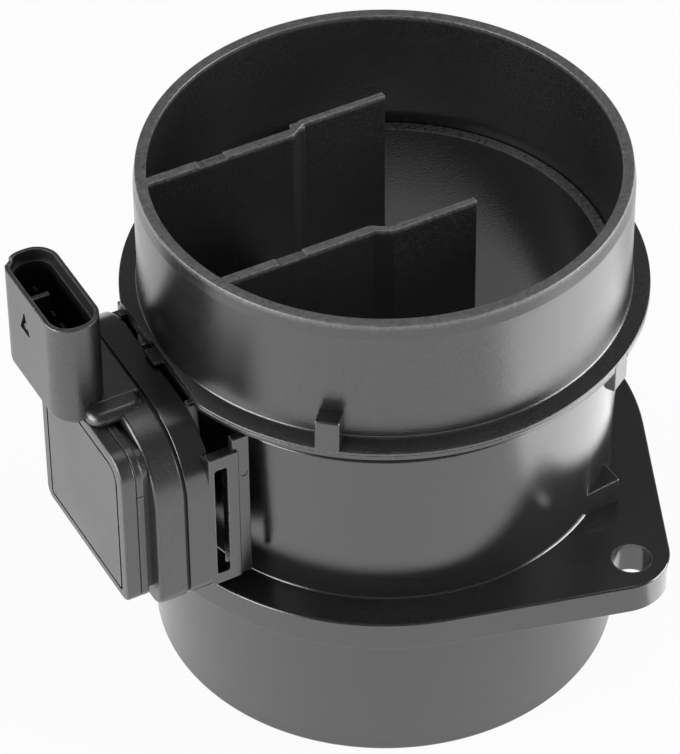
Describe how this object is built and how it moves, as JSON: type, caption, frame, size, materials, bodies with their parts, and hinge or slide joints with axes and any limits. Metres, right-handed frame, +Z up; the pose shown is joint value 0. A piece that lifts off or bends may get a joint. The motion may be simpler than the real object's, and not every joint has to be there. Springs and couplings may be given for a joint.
{
  "type": "mass airflow sensor",
  "caption": "Moulded mass airflow sensor: flanged metering tube, clipped inlet collar with guide vanes, and a side electronics module with its connector.",
  "frame": {"origin": "centre of the outlet spigot's lower end", "axes": "+Z up the tube axis towards the inlet rim, electronics module on the -X side, first bolt ear towards -Y"},
  "size_m": [0.1139, 0.1094, 0.1023],
  "materials": {
    "housing_plastic": "satin glass-filled moulding",
    "collar_plastic": "satin glass-filled moulding",
    "module_plastic": "fine-grained moulding",
    "seal_rubber": "dull",
    "terminal_metal": "tin plated",
    "plate_metal": "stamped",
    "board_ceramic": "ceramic",
    "chip_resin": "moulded resin",
    "capacitor_body": "ceramic",
    "film_glass": "thin film",
    "bead_glass": "glazed"
  },
  "bodies": {
    "root": {"flow_body": "housing_plastic", "inlet_collar": "collar_plastic", "collar_seal": "seal_rubber", "module_housing": "module_plastic", "housing_seal": "seal_rubber", "lid_frame": "module_plastic", "module_cover": "module_plastic", "terminal_1": "terminal_metal", "terminal_2": "terminal_metal", "terminal_3": "terminal_metal", "terminal_4": "terminal_metal", "terminal_5": "terminal_metal", "base_plate": "plate_metal", "circuit_board": "board_ceramic", "control_chip": "chip_resin", "chip_capacitors": "capacitor_body", "sensor_carrier": "board_ceramic", "hot_film": "film_glass", "probe_cover": "module_plastic", "bead_leads": "terminal_metal", "temperature_bead": "bead_glass"}
  },
  "joints": []
}
